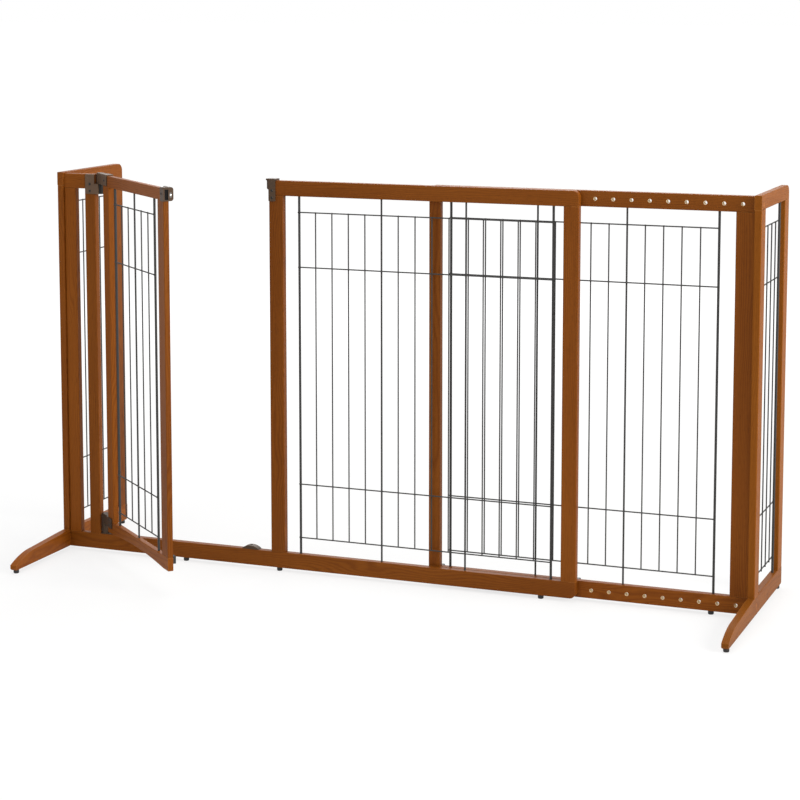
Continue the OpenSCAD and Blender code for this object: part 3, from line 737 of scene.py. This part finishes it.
@dataclass(frozen=True)
class WireGrid:
    """The layout of one wire mesh, in millimetres, which its weld beads follow."""

    name: str
    body: str
    space: Matrix
    cells: int
    pitch: float
    long_every: int
    crosses: tuple[float, float, float, float]
    thin: float = 1.5
    medium: float = 2.1
    thick: float = 2.8
    offset: float = 0.62
    spread: float = 0.45
    thickness: float = 0.85
    squash: float = 0.86
    unevenness: float = 0.16

    def weld(self, material: bpy.types.Material) -> None:
        """Put a bead where each pair of wires crosses.

        Args:
            material: The beads' finish.
        """
        build = bmesh.new()
        for index in range(self.cells + 1):
            if index in (0, self.cells):
                upright = self.thick
            else:
                upright = self.thin if index % self.long_every else self.medium
            for height in self.crosses:
                self._bead(build, (index * self.pitch, -upright * self.offset, height), upright)
        new_piece(f"{self.name}_welds", build, material, self.body)

    def _bead(self, build: bmesh.types.BMesh, middle: Vector3, upright: float) -> None:
        """Add one flattened, uneven bead.

        Args:
            build: The mesh that it is added to.
            middle: Its middle, along the mesh, across it and up.
            upright: The radius of the upright wire.
        """
        width = upright + self.spread
        shape = Matrix.Diagonal((width, upright * self.thickness, width * self.squash, 1.0))
        made = bmesh.ops.create_icosphere(build, subdivisions=2, radius=1.0, matrix=shape)
        for vertex in made["verts"]:
            swell = 1.0 + self.unevenness * noise.noise(vertex.co * 0.9 + Vector(middle) * 0.37)
            vertex.co = self.space @ ((Vector(middle) + vertex.co * swell) * MM)


@dataclass(frozen=True)
class ThreadedStud:
    """A lock bolt's threaded shank, which takes the place of the plain one, in millimetres."""

    lock: str
    pitch: float = 1.25
    depth: float = 0.62
    columns: int = 28
    rows_per_turn: int = 6
    point_share: float = 0.72
    point_length: float = 3.5

    def build(self, material: bpy.types.Material) -> None:
        """Cut the thread on the shank.

        Args:
            material: The shank's finish.
        """
        node = f"{self.lock}_stud"
        low, high = (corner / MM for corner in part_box(node))
        middle = (low + high) / 2
        outer = (high.x - low.x) / 2
        length = high.y - low.y
        build = bmesh.new()
        count = int(length / self.pitch * self.rows_per_turn)
        start = Vector((middle.x, low.y, middle.z))
        rings = [
            self._ring(build, start, length * row / count, length, outer) for row in range(count + 1)
        ]
        for one, two in zip(rings, rings[1:]):
            bridge(build, one, two)
        build.faces.new(rings[0])
        build.faces.new(tuple(reversed(rings[-1])))
        bmesh.ops.recalc_face_normals(build, faces=build.faces)
        piece = new_piece(f"{node}_thread", build, material, self.lock)
        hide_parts(node)

    def _ring(
        self, build: bmesh.types.BMesh, start: Vector, along: float, length: float, outer: float
    ) -> Loop:
        """Add one ring of the thread.

        Args:
            build: The mesh that it is added to.
            start: The middle of the shank's first end.
            along: The ring's distance from there.
            length: The shank's length.
            outer: The thread's outer radius.

        Returns:
            The ring's vertices.
        """
        point = min(along, length - along)
        crown = min(1.0, self.point_share + point / self.point_length)
        ring = []
        for column in range(self.columns):
            share = column / self.columns
            wave = (along / self.pitch + share) % 1.0
            radius = (outer - self.depth * abs(2 * wave - 1)) * crown
            angle = 2 * math.pi * share
            out = Vector((radius * math.cos(angle), along, radius * math.sin(angle)))
            ring.append(build.verts.new((start + out) * MM))
        return ring


@dataclass(frozen=True)
class LatchShadeInsert:
    """A black insert behind the opening in the latch's end plate, painted shade that stands in for the
    shadow inside the latch housing, in millimetres.
    """

    end: float = 437.8
    thickness: float = 1.1
    width: float = 8.4
    middle: float = 0.5
    low: float = 895.15
    high: float = 918.35
    corner: float = 1.6
    wall: float = 1.1
    pocket: float = 0.7
    draft: float = 0.3
    least_corner: float = 0.4

    def build(self, material: bpy.types.Material) -> None:
        """Mould the insert, with a pocket in its face.

        Args:
            material: Its finish.
        """
        space = door_space()
        build = bmesh.new()
        outer_back = self._loop(build, space, self.end, 0.0)
        outer_front = self._loop(build, space, self.end + self.thickness, 0.0)
        lip = self._loop(build, space, self.end + self.thickness, self.wall)
        floor = self._loop(
            build, space, self.end + self.thickness - self.pocket, self.wall + self.draft
        )
        for one, two in ((outer_back, outer_front), (outer_front, lip), (lip, floor)):
            bridge(build, one, two)
        build.faces.new(floor)
        build.faces.new(tuple(reversed(outer_back)))
        bmesh.ops.recalc_face_normals(build, faces=build.faces)
        new_piece("latch_shade_insert", build, material, "door", False)

    def _loop(self, build: bmesh.types.BMesh, space: Matrix, along: float, inset: float) -> Loop:
        """Add one rounded rectangle across the door's end.

        Args:
            build: The mesh that it is added to.
            space: The door's own axes.
            along: Its distance from the hinge axis.
            inset: How far it lies inside the insert's outline.

        Returns:
            The loop's vertices.
        """
        radius = max(self.least_corner, self.corner - inset)
        half = self.width / 2 - inset - radius
        low, high = self.low + inset + radius, self.high - inset - radius
        turns = ((half, low, -90), (half, high, 0), (-half, high, 90), (-half, low, 180))
        loop = []
        for across, up, start in turns:
            for step in range(5):
                angle = math.radians(start + step * 22.5)
                spot = (
                    along, self.middle + across + radius * math.cos(angle), up + radius * math.sin(angle)
                )
                loop.append(build.verts.new(space @ (Vector(spot) * MM)))
        return loop


@dataclass(frozen=True)
class LatchButton:
    """The nickel rivet in the end of the latch's slide, in millimetres."""

    end: float = 438.7
    across: float = 10.5
    height: float = 906.0
    radius: float = 2.3
    crown: float = 0.45
    sunk: float = 0.2
    rings: int = 5
    columns: int = 24

    def build(self, material: bpy.types.Material) -> None:
        """Turn the rivet's domed head.

        Args:
            material: Its finish.
        """
        space = door_space()
        build = bmesh.new()
        loops = [[] for _ in range(self.rings + 1)]
        for index, loop in enumerate(loops):
            share = index / (self.rings + 1)
            reach = self.radius * math.cos(share * math.pi / 2)
            along = self.end - self.sunk + (self.crown + self.sunk) * math.sin(share * math.pi / 2)
            for column in range(self.columns):
                angle = 2 * math.pi * column / self.columns
                aside, up = reach * math.cos(angle), reach * math.sin(angle)
                spot = Vector((along, self.across + aside, self.height + up))
                loop.append(build.verts.new(space @ (spot * MM)))
        tip = build.verts.new(space @ (Vector((self.end + self.crown, self.across, self.height)) * MM))
        for one, two in zip(loops, loops[1:]):
            bridge(build, one, two)
        for index, vertex in enumerate(loops[-1]):
            build.faces.new((vertex, loops[-1][(index + 1) % self.columns], tip))
        build.faces.new(tuple(reversed(loops[0])))
        bmesh.ops.recalc_face_normals(build, faces=build.faces)
        new_piece("latch_button", build, material, "latch_slide")


@dataclass
class Boards:
    """The wooden boards of one sub-assembly, with its turn about the vertical at rest."""

    finish: StainedWood
    turn: float = 0.0

    def dress(
        self, grain: Grain, tones: dict[str, float], lit_hole_walls: Optional[PaintedLightHoleRow] = None
    ) -> None:
        """Give each board its own figure.

        Args:
            grain: The direction that the boards' grain runs in.
            tones: Brightness of each board, by node.
            lit_hole_walls: The boards' lock holes whose walls are painted pale as painted light.
        """
        for node, tone in tones.items():
            turn = 0.0 if grain is Grain.ALONG_Z else self.turn
            dress(node, self.finish.material(node, grain, turn, tone, lit_hole_walls))


@dataclass
class FrontFrame:
    """The front frame with its doorway, and the fixed hardware on it."""

    finishes: Finishes
    rails: dict[str, float] = field(
        default_factory=lambda: {"threshold_rail": 0.88, "short_top_rail": 1.05, "front_top_rail": 0.94}
    )
    stiles: dict[str, float] = field(
        default_factory=lambda: {
            "left_stile": 1.12, "hinge_post": 0.90, "latch_stile": 0.88, "right_stile": 0.98
        }
    )

    def build(self) -> None:
        """Dress the frame and its fittings."""
        boards = Boards(self.finishes.wood)
        boards.dress(Grain.ALONG_X, self.rails)
        boards.dress(Grain.ALONG_Z, self.stiles)
        dress("front_mesh", self.finishes.wire)
        dress("front_pads", self.finishes.rubber)
        dress("upper_post_bracket", self.finishes.post_hinge)
        dress("lower_post_bracket", self.finishes.low_hinge)
        for node in ("strike", "threshold_dome"):
            dress(node, self.finishes.fitting)
        dress("lower_hinge_pin", self.finishes.steel)
        dress("frame_screws", self.finishes.bolt)
        low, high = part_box("front_mesh")
        space = Matrix.Translation((low.x + WireGrid.thick * MM, high.y - WireGrid.thick * MM, 0.0))
        grid = WireGrid("front_mesh", "front_frame", space, 15, MESH_PITCH, 5, FRAME_CROSSES)
        grid.weld(self.finishes.weld)


@dataclass
class SlidingFrame:
    """The frame that slides behind the front frame, and its lock bolts."""

    finishes: Finishes
    top_holes: float = 902.5 * MM
    bottom_holes: float = 27.25 * MM
    lock_names: tuple[str, ...] = ("outer_top", "outer_bottom", "inner_top", "inner_bottom")

    def build(self) -> None:
        """Dress the frame and its four lock bolts."""
        boards = Boards(self.finishes.wood)
        boards.dress(Grain.ALONG_X, {"sliding_top_rail": 0.88}, PaintedLightHoleRow(self.top_holes))
        boards.dress(Grain.ALONG_X, {"sliding_bottom_rail": 1.04}, PaintedLightHoleRow(self.bottom_holes))
        boards.dress(Grain.ALONG_Z, {"sliding_inner_stile": 0.96, "sliding_outer_stile": 1.0})
        dress("sliding_mesh", self.finishes.wire)
        dress("sliding_pad", self.finishes.rubber)
        low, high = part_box("sliding_mesh")
        space = Matrix.Translation((low.x + WireGrid.thick * MM, high.y - WireGrid.thick * MM, 0.0))
        grid = WireGrid("sliding_mesh", "sliding_frame", space, 15, MESH_PITCH, 5, FRAME_CROSSES)
        grid.weld(self.finishes.weld)
        for name in self.lock_names:
            dress(f"{name}_lock_stud", self.finishes.steel)
            ThreadedStud(f"{name}_lock").build(self.finishes.steel)
            dress(f"{name}_lock_knob", self.finishes.plastic)


class Side(Enum):
    """The end of the gate that a side panel stands at."""

    LEFT = "left"
    RIGHT = "right"


@dataclass
class SidePanel:
    """One side panel with its foot."""

    side: Side
    finishes: Finishes
    tones: tuple[float, float, float, float] = (0.97, 1.0, 1.0, 0.80)
    wood: StainedWood = field(default_factory=StainedWood)

    def build(self) -> None:
        """Dress the panel's boards, mesh, pads and bolts."""
        boards = Boards(self.wood)
        name = self.side.value
        front, rear, top, foot = self.tones
        stiles = {f"{name}_panel_front_stile": front, f"{name}_panel_rear_stile": rear}
        boards.dress(Grain.ALONG_Z, stiles)
        boards.dress(Grain.ALONG_Y, {f"{name}_panel_top_rail": top, f"{name}_foot_rail": foot})
        dress(f"{name}_panel_mesh", self.finishes.wire)
        dress(f"{name}_panel_pads", self.finishes.rubber)
        boards.dress(Grain.ALONG_Y, {f"{name}_panel_plugs": 1.12})
        dress(f"{name}_panel_bolts", self.finishes.bolt)
        self._weld_mesh()

    def _weld_mesh(self) -> None:
        """Put the weld beads on the panel's mesh, whose cross wires face the gate's middle."""
        name = f"{self.side.value}_panel_mesh"
        low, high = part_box(name)
        reach = WireGrid.thick * MM
        if self.side is Side.LEFT:
            body, corner, turn = "front_frame", (low.x + reach, low.y + reach, 0.0), math.pi / 2
        else:
            body, corner, turn = "sliding_frame", (high.x - reach, high.y - reach, 0.0), -math.pi / 2
        space = Matrix.Translation(corner) @ Matrix.Rotation(turn, 4, "Z")
        grid = WireGrid(name, body, space, 4, MESH_PITCH, 4, FRAME_CROSSES)
        grid.weld(self.finishes.weld)


@dataclass
class Door:
    """The swinging door with its hinge brackets and latch."""

    finishes: Finishes
    mesh_start: float = 105.0 * MM

    def build(self) -> None:
        """Dress the door and its hardware."""
        boards = Boards(self.finishes.wood, door_angle())
        boards.dress(Grain.ALONG_X, {"door_top_rail": 1.08, "door_bottom_rail": 1.0})
        boards.dress(Grain.ALONG_Z, {"door_hinge_stile": 1.08, "door_latch_stile": 0.90})
        dress("door_mesh", self.finishes.wire)
        dress("upper_door_bracket", self.finishes.hinge)
        dress("lower_door_bracket", self.finishes.low_hinge)
        dress("latch_housing", self.finishes.fitting)
        dress("upper_hinge_pin", self.finishes.steel)
        dress("latch_slide", self.finishes.slide)
        dress("door_bumper", self.finishes.rubber)
        dress("door_screws", self.finishes.bolt)
        # Painted shade: a black insert fills the latch's opening where the inside of the housing lies in
        # shadow.
        LatchShadeInsert().build(self.finishes.latch_shade)
        LatchButton().build(self.finishes.button)
        space = door_space() @ Matrix.Translation((self.mesh_start, 0.0, 0.0))
        grid = WireGrid("door_mesh", "door", space, 6, DOOR_PITCH, 3, DOOR_CROSSES)
        grid.weld(self.finishes.weld)


@dataclass(frozen=True)
class Lamp:
    """One soft square lamp that faces the gate, in metres and watts."""

    name: str
    place: Vector3
    size: float
    power: float
    colour: Colour = (1.0, 1.0, 1.0)
    aim: Vector3 = (0.0, 0.0, 0.45)

    def hang(self) -> None:
        """Hang the lamp."""
        data = bpy.data.lights.new(self.name, "AREA")
        data.size = self.size
        data.energy = self.power
        data.color = self.colour
        lamp = bpy.data.objects.new(self.name, data)
        lamp.location = self.place
        ray = Vector(self.aim) - Vector(self.place)
        lamp.rotation_euler = ray.to_track_quat("-Z", "Y").to_euler()
        bpy.context.scene.collection.objects.link(lamp)


@dataclass
class Studio:
    """A pale floor, soft lamps and the camera."""

    eye: Vector3 = (1.78005, -4.45788, 1.3422)
    yaw: float = 0.37416
    pitch: float = -0.11375
    lens: float = 96.246
    rise: float = -0.2
    far: float = 400.0
    ambient: float = 0.42
    sky: Colour = (0.98, 0.99, 1.0)
    floor_size: float = 90.0
    paper: float = 0.82
    shade: float = 0.22
    glow_near: float = 0.75
    glow_rise: float = 0.17
    glow_start: float = 0.6
    glow_end: float = 5.0
    lamps: tuple[Lamp, ...] = (
        Lamp("key", (5.0, -0.7, 2.4), 2.6, 245.0, (1.0, 0.965, 0.90)),
        Lamp("front", (-1.5, -5.5, 3.0), 3.5, 70.0),
        Lamp("top", (0.0, 0.3, 4.2), 3.0, 85.0),
        Lamp("back", (-1.5, 4.5, 2.6), 3.0, 70.0),
    )

    def build(self) -> None:
        """Set up the whole studio."""
        self._camera()
        self._world()
        self._floor()
        for lamp in self.lamps:
            lamp.hang()
        bpy.context.scene.view_settings.view_transform = "Standard"

    def _camera(self) -> None:
        """Place the camera."""
        data = bpy.data.cameras.new("camera")
        data.lens = self.lens
        data.sensor_width = 36.0
        data.shift_y = self.rise
        data.clip_end = self.far
        camera = bpy.data.objects.new("camera", data)
        camera.location = self.eye
        camera.rotation_euler = (math.pi / 2 + self.pitch, 0.0, self.yaw)
        bpy.context.scene.collection.objects.link(camera)
        bpy.context.scene.camera = camera

    def _world(self) -> None:
        """Light the scene evenly, behind a white background."""
        graph = Graph("studio", Output.WORLD)
        plain = graph.node(
            "ShaderNodeBackground", {}, {"Color": (*self.sky, 1.0), "Strength": self.ambient}
        )
        white = graph.node("ShaderNodeBackground", {}, {"Color": (1.0, 1.0, 1.0, 1.0), "Strength": 1.0})
        choice = graph.node("ShaderNodeMixShader", {}, {0: graph.background(), 1: plain, 2: white})
        bpy.context.scene.world = graph.close(choice)

    def _floor(self) -> None:
        """Lay a white floor that keeps the gate's shadow."""
        build = bmesh.new()
        bmesh.ops.create_grid(build, x_segments=1, y_segments=1, size=self.floor_size)
        mesh = bpy.data.meshes.new("floor")
        build.to_mesh(mesh)
        build.free()
        mesh.materials.append(self._floor_material())
        floor = bpy.data.objects.new("floor", mesh)
        bpy.context.scene.collection.objects.link(floor)

    def _floor_material(self) -> bpy.types.Material:
        """Build the floor's paper, which glows just enough to show as white.

        Returns:
            The material.
        """
        graph = Graph("floor_white")
        away = graph.node("ShaderNodeVectorMath", {"operation": "LENGTH"}, {0: graph.place()}, "Value")
        glow = self.glow_near + away.ramp(self.glow_start, self.glow_end) * self.glow_rise
        paper, shade = (
            graph.node("ShaderNodeBsdfDiffuse", {}, {"Color": (grey, grey, grey, 1.0)})
            for grey in (self.paper, self.shade)
        )
        light = graph.node("ShaderNodeEmission", {}, {"Color": glow, "Strength": 1.0})
        both = graph.node("ShaderNodeAddShader", {}, {0: shade, 1: light})
        return graph.close(
            graph.node("ShaderNodeMixShader", {}, {0: graph.background(), 1: paper, 2: both})
        )


def main() -> None:
    """Build the studio and dress the gate."""
    logging.basicConfig(level=logging.INFO, format="%(name)s: %(message)s")
    Studio().build()
    finishes = Finishes()
    golden = StainedWood(pale=(0.270, 0.086, 0.010), deep=(0.156, 0.041, 0.003), sheen=0.05)
    parts: Iterable[Any] = (
        FrontFrame(finishes),
        SlidingFrame(finishes),
        SidePanel(Side.LEFT, finishes, (1.0, 0.97, 1.05, 1.25)),
        SidePanel(Side.RIGHT, finishes, wood=golden),
        Door(finishes),
    )
    for part in parts:
        part.build()
        log.info("finished %s", type(part).__name__)


if __name__ == "__main__":
    main()
